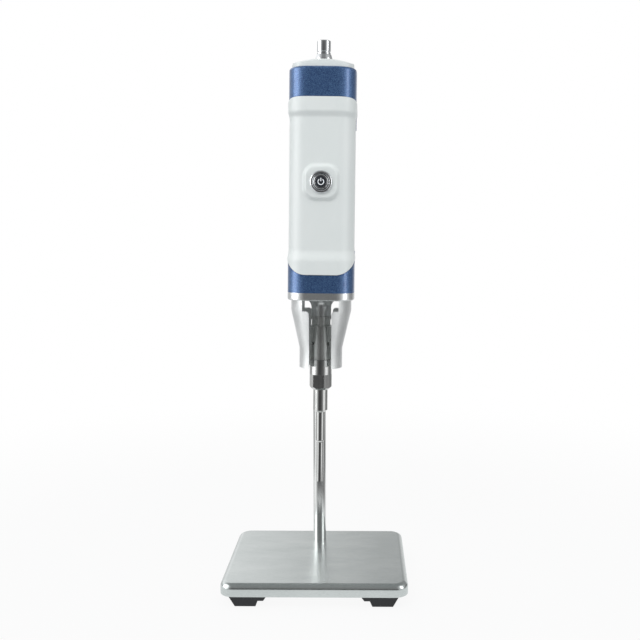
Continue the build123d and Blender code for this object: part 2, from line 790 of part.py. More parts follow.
def make_front_mass():
    neck, flare = neck_diameter / 2, neck_top_diameter / 2
    disc, mass = nodal_disc_diameter / 2, front_mass_diameter / 2
    disc_top = disc_z + nodal_disc_thickness
    flare_low = flange_z - neck_flare_length
    halfway = math.sin(math.radians(45))
    middle = (flare - (flare - neck) * halfway, flare_low + neck_flare_length * halfway)
    outline = Polyline((0, neck_z), (neck, neck_z), (neck, flare_low))
    outline += ThreePointArc((neck, flare_low), middle, (flare, flange_z))
    outline += Polyline((flare, flange_z), (flare, disc_z), (disc, disc_z), (disc, disc_top),
                        (mass, disc_top), (mass, ceramic_z), (0, ceramic_z), (0, neck_z))
    solid = Pos(0, device_y, 0) * revolve(make_face(Plane.XZ * outline), Axis.Z)
    bolt_end = ceramic_z - prestress_depth - side_gap
    solid -= upright(prestress_diameter / 2 + thread_fit, bolt_end, ceramic_z, 0, device_y)
    stud_end = neck_z + stud_depth + side_gap
    return solid - upright(stud_diameter / 2 + thread_fit, neck_z, stud_end, 0, device_y)


def ceramic_levels():
    return [ceramic_z + i * (ceramic_thickness + electrode_thickness) for i in range(ceramic_count)]


def make_piezo_rings():
    rings = []
    for low in ceramic_levels():
        ring = upright(ceramic_diameter / 2, low, low + ceramic_thickness, 0, device_y)
        rings.append(ring - upright(ceramic_bore / 2, low, low + ceramic_thickness, 0, device_y))
    return rings


def make_electrodes():
    electrodes = []
    for i, level in enumerate(ceramic_levels()):
        low = level + ceramic_thickness
        disc = upright(ceramic_diameter / 2, low, low + electrode_thickness, 0, device_y)
        reach = ceramic_diameter / 2 + electrode_tab_length
        side = 1 if i % 2 else -1
        tab = Box(reach, electrode_tab_width, electrode_thickness, align=CENTRE_LOW)
        disc += Pos(side * reach / 2, device_y, low) * tab
        electrodes.append(disc - upright(ceramic_bore / 2, low, low + electrode_thickness, 0, device_y))
    return electrodes


def make_insulating_sleeve():
    radius = prestress_diameter / 2 + thread_fit
    sleeve = upright(radius + sleeve_wall, ceramic_z, back_mass_z, 0, device_y)
    return sleeve - upright(radius, ceramic_z, back_mass_z, 0, device_y)


def make_back_mass():
    mass = upright(back_mass_diameter / 2, back_mass_z, back_mass_top, 0, device_y)
    mass = chamfer(mass.edges().group_by(Axis.Z)[-1], back_mass_chamfer)
    return mass - upright(prestress_diameter / 2 + thread_fit, back_mass_z, back_mass_top, 0, device_y)


def make_prestress_bolt():
    length = back_mass_top - ceramic_z + prestress_depth
    bolt = screw(prestress_diameter, length, prestress_head_diameter, prestress_head_height)
    return Pos(0, device_y, back_mass_top) * bolt


def make_retaining_ring():
    low = body_z
    lip = disc_z + nodal_disc_thickness + seal_section
    ring = rounded_block(ring_width, ring_width, cavity_corner, low, lip + ring_lip_thickness, 0, device_y)
    ring -= upright(nodal_disc_diameter / 2 + side_gap, low, lip, 0, device_y)
    ring -= upright(ring_lip_bore / 2, low, lip + ring_lip_thickness, 0, device_y)
    for x, y in corners_of(ring_screw_offset, ring_screw_offset):
        ring -= upright(screw_diameter / 2 + through_fit, low, lip + ring_lip_thickness, x, device_y + y)
    return ring


def make_ring_screws():
    seat = disc_z + nodal_disc_thickness + seal_section + ring_lip_thickness
    length = seat - body_z + ring_screw_depth - side_gap
    places = corners_of(ring_screw_offset, ring_screw_offset)
    return [Pos(x, device_y + y, seat) * small_screw(length) for x, y in places]


def make_seal_rings():
    tight = seal_section / 2 - thread_fit
    levels = (body_z + seal_section / 2, disc_z + nodal_disc_thickness + seal_section / 2)
    return [Pos(0, device_y, level) * Torus(seal_diameter / 2, tight) for level in levels]


# Horn and probe

def make_horn():
    main, groove, collar = horn_diameter / 2, horn_groove_diameter / 2, horn_collar_diameter / 2
    horn = turned([(0, horn_z), (main - horn_edge, horn_z), (main, horn_z + horn_edge),
                   (main, groove_z - horn_edge), (main - horn_edge, groove_z), (groove, groove_z),
                   (groove, collar_z), (collar, collar_z), (collar, neck_z), (0, neck_z)], 0, device_y)
    depth = stud_depth + side_gap
    for low, high in ((horn_z, horn_z + depth), (neck_z - depth, neck_z)):
        horn -= upright(stud_diameter / 2 + thread_fit, low, high, 0, device_y)
    dimple = Cylinder(spanner_hole_diameter / 2, 2 * spanner_hole_depth, align=CENTRE_LOW)
    dimple = Pos(horn_diameter / 2 - spanner_hole_depth, 0, 0) * Rot(0, 90, 0) * dimple
    for i in range(spanner_hole_count):
        turn = 180 / spanner_hole_count + i * 360 / spanner_hole_count
        horn -= Pos(0, device_y, horn_z + spanner_hole_height) * Rot(0, 0, turn) * dimple
    return horn


def make_stud(level):
    """A threaded stud that joins two pieces at a level."""
    return upright(stud_diameter / 2, level - stud_depth, level + stud_depth, 0, device_y)


def make_probe():
    tip, stem = tip_diameter / 2, stem_diameter / 2
    shaft, shank = shaft_diameter / 2, shank_diameter / 2
    probe = turned([(0, tip_z), (tip, tip_z), (tip, tip_z + tip_length), (stem, stem_z),
                    (stem, stem_z + stem_length), (shaft, shaft_z), (shaft, hex_z), (0, hex_z)], 0, device_y)
    hexagon = RegularPolygon(hex_across_flats / 2, 6, major_radius=False)
    nut = Pos(0, device_y, hex_z) * Rot(0, 0, hex_turn) * extrude(hexagon, hex_length)
    corner = hex_across_flats / math.sqrt(3)
    nut &= turned([(0, hex_z), (corner - hex_chamfer, hex_z), (corner, hex_z + hex_chamfer),
                   (corner, shank_z), (0, shank_z)], 0, device_y)
    probe += nut + upright(shank, shank_z, horn_z, 0, device_y)
    stud_end = horn_z - stud_depth - side_gap
    return probe - upright(stud_diameter / 2 + thread_fit, stud_end, horn_z, 0, device_y)


# Cable inlet

def inlet_top():
    return inlet_seat_z + connector_height


def make_connector_shell():
    low = inlet_seat_z - connector_depth
    shell = upright(connector_diameter / 2, low, inlet_top(), 0, device_y)
    shell = chamfer(shell.edges().group_by(Axis.Z)[-1], connector_chamfer)
    shell -= upright(connector_bore / 2, low, inlet_top(), 0, device_y)
    groove_low = inlet_seat_z + connector_groove_height
    groove_high = groove_low + connector_groove_width
    groove = upright(connector_diameter, groove_low, groove_high, 0, device_y)
    groove -= upright(connector_diameter / 2 - connector_groove_depth, groove_low, groove_high, 0, device_y)
    return shell - groove


def make_inlet_nut():
    low = inlet_seat_z
    bore = connector_diameter / 2 + thread_fit
    wide, narrow = inlet_nut_diameter / 2, inlet_nut_top_diameter / 2
    high = low + inlet_nut_height
    return turned([(bore, low), (wide, low), (wide, low + inlet_nut_band), (narrow, high), (bore, high)],
                  0, device_y)


def make_inlet_locknut():
    high = inlet_seat_z - cap_wall
    nut = extrude(RegularPolygon(locknut_across_flats / 2, 6, major_radius=False), locknut_height)
    nut = Pos(0, device_y, high - locknut_height) * nut
    return nut - upright(connector_diameter / 2 + thread_fit, high - locknut_height, high, 0, device_y)


def contact_places():
    radius = contact_pin_circle / 2
    step = 360 / contact_pin_count
    angles = [math.radians(contact_pin_turn + i * step) for i in range(contact_pin_count)]
    return [(radius * math.cos(angle), radius * math.sin(angle)) for angle in angles]


def make_connector_insert():
    high = inlet_top() - insert_recess
    insert = upright(connector_bore / 2 - thread_fit, high - insert_length, high, 0, device_y)
    for x, y in contact_places():
        insert -= upright(contact_pin_diameter / 2, high - insert_length, high, x, device_y + y)
    return insert


def make_connector_pins():
    high = inlet_top() - insert_recess + contact_pin_stand_out
    low = inlet_top() - insert_recess - insert_length - contact_pin_tail
    radius = contact_pin_diameter / 2 - thread_fit
    return [upright(radius, low, high, x, device_y + y) for x, y in contact_places()]


# Push button

def along_button(points):
    """A solid turned about the button's axis from (radius, distance behind the boss) points."""
    profile = make_face(Plane.XZ * Polyline(*points, close=True))
    return Pos(0, boss_front_y, button_z) * Rot(-90, 0, 0) * revolve(profile, Axis.Z)


def make_button_bezel():
    rim, face, barrel = bezel_diameter / 2, bezel_face_diameter / 2, barrel_diameter / 2
    bore = plunger_diameter / 2 + plunger_fit
    stem = plunger_stem_diameter / 2 + plunger_fit
    return along_button([(bore, -bezel_height), (face, -bezel_height), (rim, -bezel_rim_height), (rim, 0),
                         (barrel, 0), (barrel, barrel_length), (stem, barrel_length),
                         (stem, barrel_floor_depth), (bore, barrel_floor_depth)])


def plunger_front():
    return -bezel_height - plunger_stand_out


def make_button_plunger():
    radius = plunger_diameter / 2
    lens = lens_diameter / 2 + running_fit
    front = plunger_front()
    seat = front + lens_depth
    end = front + plunger_length
    stem = plunger_stem_diameter / 2
    stem_end = barrel_length - plunger_travel - side_gap / 2
    return along_button([(0, seat), (lens, seat), (lens, front), (radius - plunger_edge, front),
                         (radius, front + plunger_edge), (radius, end), (stem, end), (stem, stem_end),
                         (0, stem_end)])


def make_button_lens():
    radius = lens_diameter / 2
    front = plunger_front()
    return along_button([(0, front), (radius, front), (radius, front + lens_depth), (0, front + lens_depth)])


def make_button_symbol():
    """The standard power sign, standing just proud of the lens."""
    radius = symbol_diameter / 2
    ring = Circle(radius) - Circle(radius - symbol_line)
    wedge = symbol_diameter * math.tan(math.radians(symbol_gap_angle / 2))
    ring -= make_face(Polyline((0, 0), (wedge, symbol_diameter), (-wedge, symbol_diameter), close=True))
    bar = Pos(0, symbol_bar_middle) * Rectangle(symbol_line, symbol_bar_length)
    sign = extrude(Plane.XZ * (ring + bar), symbol_height)
    return Pos(0, boss_front_y + plunger_front(), button_z) * sign


def make_button_nut():
    nut = extrude(RegularPolygon(button_nut_across_flats / 2, 6, major_radius=False), button_nut_height)
    nut = Pos(0, shell_front_y + button_nut_height, button_z) * Rot(90, 0, 0) * nut
    return nut - along_y(barrel_diameter / 2 + thread_fit, boss_front_y, device_y, 0, button_z)


def make_switch_body():
    start = boss_front_y + barrel_length
    body = Box(switch_width, switch_length, switch_width)
    return Pos(0, start + switch_length / 2, button_z) * body


def make_button_spring():
    """The coil that pushes the button out, between its plunger and the barrel's inner floor."""
    start = plunger_front() + plunger_length
    wire = spring_wire / 2
    height = barrel_floor_depth - start - spring_wire - 2 * running_fit
    path = Helix(height / spring_turns, height, spring_diameter / 2)
    coil = sweep(Plane(path @ 0, z_dir=path % 0) * Circle(wire), path=path)
    return Pos(0, boss_front_y + start + wire + running_fit, button_z) * Rot(-90, 0, 0) * coil


# Leads inside the handle

def lead(points, bends):
    """A round lead along a route of straight runs joined by arcs."""
    path = FilletPolyline(*points, radius=bends)
    return sweep(Plane(path @ 0, z_dir=path % 0) * Circle(lead_diameter / 2), path=path)


def lead_top():
    return inlet_top() - insert_recess - insert_length - contact_pin_tail


def make_transducer_leads():
    """Two leads from the contacts down to the electrodes' tabs, with a link to each lower tab."""
    x, y = contact_places()[0]
    y = device_y - y
    tab_x = ceramic_diameter / 2 + electrode_tab_length - lead_diameter / 2
    tabs = [level + ceramic_thickness for level in ceramic_levels()]
    leads = []
    for side, tab in ((-1, tabs[-2]), (1, tabs[-1])):
        start_x, end_x = side * x, side * tab_x
        straight = lead_top() - lead_straight
        turn = straight - lead_slant
        end = tab + electrode_thickness
        leads.append(lead([(start_x, y, lead_top()), (start_x, y, straight), (end_x, y, turn), (end_x, y, end)],
                          lead_bend))
        lower_tab = tabs[tabs.index(tab) - 2] + electrode_thickness
        leads.append(upright(lead_diameter / 2, lower_tab, tab, end_x, y))
    return leads


def make_switch_leads():
    """Two leads from the contacts down to the switch."""
    x, y = contact_places()[0]
    start_y = device_y + y
    end_y = boss_front_y + barrel_length + switch_length / 2
    end_z = button_z + switch_width / 2
    high = end_z + switch_lead_straight
    leads = []
    for lead_x in (-x, x):
        leads.append(lead([(lead_x, start_y, lead_top()), (lead_x, start_y, high),
                           (lead_x, end_y, high - switch_lead_slant), (lead_x, end_y, end_z)], lead_bend))
    return leads


def stand_pieces():
    """Every node of the stand and its clamp with its solid or solids."""
    pieces = {"base_plate": make_base_plate(), "foot_screws": make_foot_screws(),
              "stand_rod": make_stand_rod(), "rod_bolt": make_rod_bolt(), "rod_washer": make_rod_washer(),
              "rod_bush": make_rod_bush(), "clamp_body": make_clamp_body(),
              "rod_knob": at_rod_knob(make_knob()), "arm_knob": at_arm_knob(make_knob()),
              "rod_knob_stud": at_rod_knob(make_knob_stud(rod_stud_reach())),
              "arm_knob_stud": at_arm_knob(make_knob_stud(arm_stud_reach())),
              "pressure_pad": make_pressure_pad()}
    for name, (x, y) in feet_places().items():
        pieces[name] = make_foot(x, y)
    return pieces


def device_pieces():
    """Every node of the device and its arm, made upright with the probe's axis at X = 0."""
    pieces = {"support_arm": make_support_arm(), "back_bracket": make_back_bracket(),
              "bracket_screws": make_bracket_screws()}
    pieces.update({
        "body_shell": make_body_shell(), "front_cover": make_front_cover(),
        "back_cover": make_back_cover(), "cover_screws": make_cover_screws(), "top_cap": make_top_cap(),
        "bottom_flange": make_bottom_flange(), "flange_screws": make_flange_screws(),
        "guard_left": make_guard_leg(-1), "guard_right": make_guard_leg(1),
        "guard_screws": make_guard_screws()})
    pieces.update({
        "front_mass": make_front_mass(), "piezo_rings": make_piezo_rings(), "electrodes": make_electrodes(),
        "insulating_sleeve": make_insulating_sleeve(), "back_mass": make_back_mass(),
        "prestress_bolt": make_prestress_bolt(), "retaining_ring": make_retaining_ring(),
        "ring_screws": make_ring_screws(), "seal_rings": make_seal_rings(),
        "horn": make_horn(), "horn_stud": make_stud(neck_z), "probe": make_probe(),
        "probe_stud": make_stud(horn_z)})
    pieces.update({
        "connector_shell": make_connector_shell(), "inlet_nut": make_inlet_nut(),
        "inlet_locknut": make_inlet_locknut(), "connector_insert": make_connector_insert(),
        "connector_pins": make_connector_pins(), "button_bezel": make_button_bezel(),
        "button_plunger": make_button_plunger(), "button_lens": make_button_lens(),
        "button_symbol": make_button_symbol(), "button_nut": make_button_nut(),
        "switch_body": make_switch_body(), "button_spring": make_button_spring(),
        "transducer_leads": make_transducer_leads(), "switch_leads": make_switch_leads()})
    return pieces


def hung(solid):
    """A piece of the device, moved to where the device hangs and leaned about its arm."""
    return Pos(device_x, 0, arm_height) * Rot(0, device_lean, 0) * Pos(0, 0, -arm_height) * solid


def as_one(shape):
    """One shape for a node, from its solid or its list of solids."""
    return Compound(children=shape) if isinstance(shape, list) else shape


os.makedirs("parts", exist_ok=True)
for node, shape in stand_pieces().items():
    export_step(as_one(shape), f"parts/{node}.step")
for node, shape in device_pieces().items():
    export_step(hung(as_one(shape)), f"parts/{node}.step")
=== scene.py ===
import json
import math
import bmesh
import bpy
from mathutils import Matrix, Vector


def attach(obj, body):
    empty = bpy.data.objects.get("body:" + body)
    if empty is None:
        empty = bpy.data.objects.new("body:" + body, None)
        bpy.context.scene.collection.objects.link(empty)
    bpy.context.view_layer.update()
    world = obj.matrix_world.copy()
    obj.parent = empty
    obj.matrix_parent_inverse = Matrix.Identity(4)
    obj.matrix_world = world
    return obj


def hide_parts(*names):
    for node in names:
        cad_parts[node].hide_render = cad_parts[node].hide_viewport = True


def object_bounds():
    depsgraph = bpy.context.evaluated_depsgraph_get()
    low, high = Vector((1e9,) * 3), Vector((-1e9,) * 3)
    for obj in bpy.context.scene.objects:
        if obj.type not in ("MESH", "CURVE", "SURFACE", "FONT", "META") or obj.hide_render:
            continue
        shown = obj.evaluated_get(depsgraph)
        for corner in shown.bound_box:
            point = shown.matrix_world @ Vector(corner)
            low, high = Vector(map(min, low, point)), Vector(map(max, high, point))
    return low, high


# Ultrasonic cell disruptor on its rod stand: finishes, moulded pieces, studio and camera
# All lengths are metres

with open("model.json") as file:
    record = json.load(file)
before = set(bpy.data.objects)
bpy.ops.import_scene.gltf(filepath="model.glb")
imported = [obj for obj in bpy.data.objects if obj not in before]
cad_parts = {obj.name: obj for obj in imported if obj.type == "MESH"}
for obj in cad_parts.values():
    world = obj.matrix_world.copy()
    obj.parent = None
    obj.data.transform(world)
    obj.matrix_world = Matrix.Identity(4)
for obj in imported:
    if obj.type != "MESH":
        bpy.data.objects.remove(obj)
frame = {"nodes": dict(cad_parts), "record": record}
cad_low, cad_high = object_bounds()

MM = 0.001

# The device's axis and how it hangs, as they are in the source of the solids

DEVICE_X = 6 * MM
DEVICE_Y = -18 * MM
ARM_HEIGHT = 350 * MM
DEVICE_LEAN = math.radians(0.7)
LEANING = (Matrix.Translation((DEVICE_X, 0, ARM_HEIGHT)) @ Matrix.Rotation(DEVICE_LEAN, 4, "Y")
           @ Matrix.Translation((-DEVICE_X, 0, -ARM_HEIGHT)))


# Shader maths

class Value:
    """A shader socket that Python's operators work on."""

    def __init__(self, graph, socket):
        self.graph = graph
        self.socket = socket

    def __add__(self, other):
        return self.graph.maths("ADD", self, other)

    def __mul__(self, other):
        return self.graph.maths("MULTIPLY", self, other)

    def __truediv__(self, other):
        return self.graph.maths("DIVIDE", self, other)

    def __radd__(self, other):
        return self.graph.maths("ADD", other, self)

    def __rsub__(self, other):
        return self.graph.maths("SUBTRACT", other, self)

    def __rmul__(self, other):
        return self.graph.maths("MULTIPLY", other, self)


class Graph:
    """A node tree and the one way in which nodes are added to it."""

    def __init__(self, tree):
        self.tree = tree
        tree.nodes.clear()

    def add(self, kind, settings=None, sockets=None, output=0):
        """A node with its settings and the values or links of its sockets. Gives one of its outputs."""
        node = self.tree.nodes.new("ShaderNode" + kind)
        for name, value in (settings or {}).items():
            if name == "stops":
                ramp = node.color_ramp.elements
                ramp[0].position, ramp[0].color = value[0]
                ramp[1].position, ramp[1].color = value[-1]
                for position, shade in value[1:-1]:
                    ramp.new(position).color = shade
            else:
                setattr(node, name, value)
        for name, value in (sockets or {}).items():
            if isinstance(value, Value):
                self.tree.links.new(value.socket, node.inputs[name])
            else:
                node.inputs[name].default_value = value
        return Value(self, node.outputs[output]) if node.outputs else None

    def maths(self, operation, *values):
        return self.add("Math", {"operation": operation}, dict(enumerate(values)))

    def mix(self, factor, first, second, blend="MIX"):
        """Two colours mixed by a factor."""
        return self.add("Mix", {"data_type": "RGBA", "blend_type": blend},
                        {0: factor, 6: first, 7: second}, 2)

    def step(self, value, low, high):
        """0 below low, 1 above high and smooth between them."""
        return self.add("MapRange", {"interpolation_type": "SMOOTHSTEP"},
                        {"Value": value, "From Min": low, "From Max": high})

    def place(self):
        """Object coordinates in metres."""
        return self.add("TexCoord", output="Object")

    def moved(self, vector, offset):
        return self.add("VectorMath", {"operation": "ADD"}, {0: vector, 1: offset})

    def stretched(self, vector, scale):
        return self.add("VectorMath", {"operation": "MULTIPLY"}, {0: vector, 1: scale})

    def noise(self, vector, scale, detail=3.0, roughness=0.5):
        return self.add("TexNoise", None, {"Vector": vector, "Scale": scale, "Detail": detail,
                                           "Roughness": roughness})

    def axes(self, vector):
        """The three parts of a vector."""
        split = self.add("SeparateXYZ", None, {0: vector})
        return split, Value(self, split.socket.node.outputs[1]), Value(self, split.socket.node.outputs[2])

    def bump(self, height, distance, strength=1.0):
        return self.add("Bump", None, {"Height": height, "Distance": distance, "Strength": strength})


def colour(red, green, blue):
    """An opaque colour for a socket."""
    return (red, green, blue, 1.0)


def finish(name, paint):
    """A material whose paint function gives the sockets of its shader."""
    material = bpy.data.materials.new(name)
    material.use_nodes = True
    graph = Graph(material.node_tree)
    shader = graph.add("BsdfPrincipled", None, paint(graph))
    graph.add("OutputMaterial", None, {"Surface": shader})
    return material


def radius_from(graph, place, x, y):
    """The distance from a vertical axis."""
    across, along, _ = graph.axes(graph.moved(place, (-x, -y, 0.0)))
    return graph.maths("SQRT", across * across + along * along)


# Finishes

PER_MM = 1 / MM
# The guard's legs end below its ring, and are blasted outside this radius round the leaning device's axis
GUARD_MIDDLE_X = 5 * MM
GUARD_LEGS_TOP = 257 * MM
GUARD_INSIDE_RADIUS = 11.5 * MM
FINISH_BORDER = 1 * MM


def navy_paint(graph):
    """Metallic navy paint with fine flakes under a clear coat."""
    place = graph.place()
    flakes = graph.add("TexVoronoi", None, {"Vector": place, "Scale": 2.6 * PER_MM}, 1)
    sparkle, _, _ = graph.axes(flakes)
    cloud = graph.noise(place, 0.05 * PER_MM)
    depth = graph.step(sparkle, 0.1, 1.0) * 0.75 + cloud * 0.25
    tint = graph.mix(depth, colour(0.020, 0.060, 0.180), colour(0.120, 0.240, 0.470))
    peel = graph.noise(place, 1.2 * PER_MM, 2.0)
    return {"Base Color": tint, "Metallic": 0.55, "Roughness": 0.30 + 0.16 * sparkle,
            "Coat Weight": 0.7, "Coat Roughness": 0.16,
            "Normal": graph.bump(peel + 0.6 * sparkle, 0.02 * MM, 0.5)}


def white_plastic(graph):
    """Moulded white plastic, a little cool, with a silky skin."""
    place = graph.place()
    cloud = graph.noise(place, 0.03 * PER_MM)
    tint = graph.mix(cloud, colour(0.760, 0.812, 0.806), colour(0.815, 0.852, 0.846))
    skin = graph.noise(place, 1.8 * PER_MM, 2.0)
    return {"Base Color": tint, "Roughness": 0.34 + 0.10 * cloud, "IOR": 1.49,
            "Normal": graph.bump(skin, 0.012 * MM, 0.45)}


def brushed_plate(graph):
    """Stainless steel with a fine short grain from left to right and faint cloudy marks."""
    place = graph.place()
    line = graph.noise(graph.stretched(place, (0.18, 1.0, 1.0)), 1.6 * PER_MM, 5.0, 0.7)
    speck = graph.noise(place, 0.9 * PER_MM, 4.0, 0.7)
    cloud = graph.noise(graph.stretched(place, (0.45, 1.0, 1.0)), 0.05 * PER_MM, 4.0)
    shade = line * 0.40 + speck * 0.30 + cloud * 0.30
    tint = graph.mix(graph.step(shade, 0.30, 0.70), colour(0.560, 0.605, 0.600), colour(0.720, 0.755, 0.750))
    return {"Base Color": tint, "Metallic": 1.0, "Roughness": 0.17 + 0.14 * shade,
            "Normal": graph.bump(line + speck, 0.02 * MM, 0.5)}


def polished_steel(graph):
    """A ground and polished round bar with fine lengthwise lines."""
    place = graph.place()
    line = graph.noise(graph.stretched(place, (1.0, 1.0, 0.01)), 2.5 * PER_MM, 4.0, 0.6)
    haze = graph.noise(place, 0.12 * PER_MM, 3.0)
    tint = graph.mix(line, colour(0.640, 0.655, 0.650), colour(0.820, 0.835, 0.830))
    return {"Base Color": tint, "Metallic": 1.0, "Roughness": 0.10 + 0.14 * haze,
            "Normal": graph.bump(line, 0.004 * MM, 0.35)}


def turned_metal(dark, light, roughness, pitch=0.25, depth=0.006):
    """Metal turned on a lathe: fine rings up its height, and rings on its flat faces."""
    def paint(graph):
        place = graph.place()
        _, _, height = graph.axes(place)
        away = radius_from(graph, place, DEVICE_X, DEVICE_Y)
        wobble = graph.noise(place, 0.2 * PER_MM, 2.0)
        ring = graph.maths("SINE", (height + away) * (math.tau / (pitch * MM)) + wobble * 2.0)
        fine = graph.noise(graph.stretched(place, (0.06, 0.06, 1.0)), 6.0 * PER_MM, 4.0, 0.7)
        streak = graph.noise(graph.stretched(place, (1.0, 1.0, 0.02)), 0.9 * PER_MM, 3.0, 0.65)
        haze = graph.noise(place, 0.08 * PER_MM, 3.0)
        shade = ring * 0.06 + fine * 0.25 + streak * 0.55 + haze * 0.20
        tint = graph.mix(graph.step(shade, 0.30, 0.70), dark, light)
        return {"Base Color": tint, "Metallic": 1.0, "Roughness": roughness + 0.14 * fine,
                "Normal": graph.bump(ring * 0.3 + fine, depth * MM, 0.5)}
    return paint


def milled_metal(dark, light, roughness, metallic, leg_metallic, depth=0.008):
    """Milled metal with a fine even grain, blasted to a paler finish on the guard's legs."""
    def paint(graph):
        place = graph.place()
        _, _, height = graph.axes(place)
        away = radius_from(graph, place, GUARD_MIDDLE_X, DEVICE_Y)
        below = 1.0 - graph.step(height, GUARD_LEGS_TOP, GUARD_LEGS_TOP + FINISH_BORDER)
        leg = below * graph.step(away, GUARD_INSIDE_RADIUS, GUARD_INSIDE_RADIUS + FINISH_BORDER)
        grain = graph.noise(graph.stretched(place, (1.0, 1.0, 0.12)), 4.0 * PER_MM, 4.0, 0.65)
        haze = graph.noise(place, 0.06 * PER_MM, 3.0)
        shade = grain * 0.6 + haze * 0.4
        tint = graph.mix(graph.step(shade, 0.25, 0.75), dark, light)
        return {"Base Color": tint,
                "Metallic": metallic + (leg_metallic - metallic) * leg,
                "Roughness": roughness + 0.16 * grain + 0.08 * leg,
                "Normal": graph.bump(grain, depth * MM, 0.5)}
    return paint


def plated_metal(dark, light, roughness):
    """Bright plating with a faint haze."""
    def paint(graph):
        place = graph.place()
        haze = graph.noise(place, 0.25 * PER_MM, 3.0)
        speck = graph.noise(place, 3.0 * PER_MM, 2.0)
        return {"Base Color": graph.mix(haze, dark, light), "Metallic": 1.0,
                "Roughness": roughness + 0.08 * haze + 0.05 * speck,
                "Normal": graph.bump(speck, 0.003 * MM, 0.3)}
    return paint


def moulded(dark, light, roughness, grain_size=0.35, depth=0.02):
    """Moulded rubber or plastic with a fine eroded texture."""
    def paint(graph):
        place = graph.place()
        grain = graph.noise(place, PER_MM / grain_size, 3.0, 0.6)
        cloud = graph.noise(place, 0.05 * PER_MM, 3.0)
        tint = graph.mix(grain * 0.5 + cloud * 0.5, dark, light)
        return {"Base Color": tint, "Roughness": roughness + 0.15 * grain,
                "Normal": graph.bump(grain, depth * MM, 0.6)}
    return paint


def fired_ceramic(graph):
    """Fired ceramic with silvered faces."""
    place = graph.place()
    speck = graph.noise(place, 1.5 * PER_MM, 4.0, 0.7)
    tint = graph.mix(speck, colour(0.30, 0.27, 0.22), colour(0.48, 0.45, 0.39))
    return {"Base Color": tint, "Roughness": 0.45 + 0.2 * speck, "Normal": graph.bump(speck, 0.01 * MM, 0.5)}


def smoked_lens(graph):
    """A dark window over the lamp."""
    place = graph.place()
    haze = graph.noise(place, 0.6 * PER_MM, 3.0)
    tint = graph.mix(haze, colour(0.018, 0.020, 0.024), colour(0.045, 0.050, 0.060))
    return {"Base Color": tint, "Roughness": 0.10 + 0.10 * haze, "Coat Weight": 0.6}


def lit_sign(graph):
    """The power sign, lit from behind."""
    place = graph.place()
    glow = graph.noise(place, 1.2 * PER_MM, 2.0)
    tint = graph.mix(glow, colour(0.80, 0.84, 0.88), colour(0.92, 0.95, 0.98))
    return {"Base Color": tint, "Roughness": 0.35, "Emission Color": tint, "Emission Strength": 0.25}


PAINTS = {
    "brushed_stainless": brushed_plate,
    "polished_rod": polished_steel,
    "steel_fastener": plated_metal(colour(0.34, 0.35, 0.36), colour(0.52, 0.53, 0.54), 0.26),
    "black_rubber": moulded(colour(0.008, 0.009, 0.011), colour(0.026, 0.028, 0.032), 0.55),
    "nylon": moulded(colour(0.70, 0.69, 0.65), colour(0.82, 0.81, 0.77), 0.45, 0.6),
    "black_anodised": moulded(colour(0.010, 0.011, 0.013), colour(0.030, 0.032, 0.036), 0.34, 0.12, 0.008),
    "brass": plated_metal(colour(0.56, 0.40, 0.15), colour(0.76, 0.58, 0.26), 0.24),
    "knob_plastic": moulded(colour(0.010, 0.011, 0.012), colour(0.028, 0.030, 0.033), 0.42, 0.3, 0.03),
    "polished_arm": polished_steel,
    "navy_shell": navy_paint,
    "white_plastic": white_plastic,
    "satin_aluminium": milled_metal(colour(0.66, 0.68, 0.68), colour(0.88, 0.90, 0.90), 0.24, 0.90, 0.64),
    "ceramic": fired_ceramic,
    "insulation": moulded(colour(0.78, 0.78, 0.75), colour(0.88, 0.88, 0.86), 0.40, 0.8),
    "steel_mass": turned_metal(colour(0.30, 0.31, 0.32), colour(0.46, 0.47, 0.48), 0.28),
    "titanium_horn": turned_metal(colour(0.500, 0.515, 0.505), colour(0.860, 0.875, 0.860), 0.36),
    "titanium_probe": turned_metal(colour(0.52, 0.53, 0.525), colour(0.82, 0.83, 0.82), 0.08, 0.2, 0.003),
    "chrome": plated_metal(colour(0.66, 0.68, 0.70), colour(0.82, 0.84, 0.86), 0.05),
    "plated_nut": plated_metal(colour(0.46, 0.46, 0.44), colour(0.62, 0.62, 0.60), 0.22),
    "black_plastic": moulded(colour(0.012, 0.012, 0.013), colour(0.032, 0.032, 0.034), 0.40),
    "dark_lens": smoked_lens,
    "lit_symbol": lit_sign,
    "lead_jacket": moulded(colour(0.32, 0.02, 0.02), colour(0.50, 0.05, 0.04), 0.38, 0.5),
}
materials = {name: finish(name, paint) for name, paint in PAINTS.items()}
node_slots = {part["node"]: part["material_slot"] for part in frame["record"]["subparts"]}


def dress(obj, slot_name):
    """Gives a piece the finish of one of the record's slots."""
    obj.data.materials.clear()
    obj.data.materials.append(materials[slot_name])
    return obj


for node, carried in frame["nodes"].items():
    dress(carried, node_slots[node])


# The handle's own form, before it leans

COVER_LOW = 280.2 * MM
COVER_HIGH = 430.0 * MM
COVER_HALF = 29.75 * MM
BUTTON_Z = 358.7 * MM
HANDLE_CORNER = 17 * MM
HANDLE_BULGE = 1 * MM
COVER_WALL = 2 * MM
COVER_EDGE = 0.45 * MM
LOWER_FRONT_CORNER = 17 * MM
UPPER_FRONT_CORNER = 2 * MM
LOWER_SIDE_CORNER = 23 * MM
UPPER_SIDE_CORNER = 28 * MM
SEAM_GAP = 0.15 * MM
WAIST_DEPTH_FRONT = 2.6 * MM
WAIST_DEPTH_SIDE = 1.2 * MM
LOWER_RAMP_START = 11 * MM
LOWER_RAMP_HEIGHT = 10.6 * MM
UPPER_RAMP_START = 11 * MM
UPPER_RAMP_HEIGHT = 6 * MM
BOSS_HALF = 13.4 * MM
BOSS_CORNER = 8.8 * MM
BOSS_SLOPE_START = -0.8 * MM
BOSS_SLOPE_END = 2.8 * MM
BOSS_STAND_OUT = 3.2 * MM
BUTTON_HOLE_GAP = 0.3 * MM
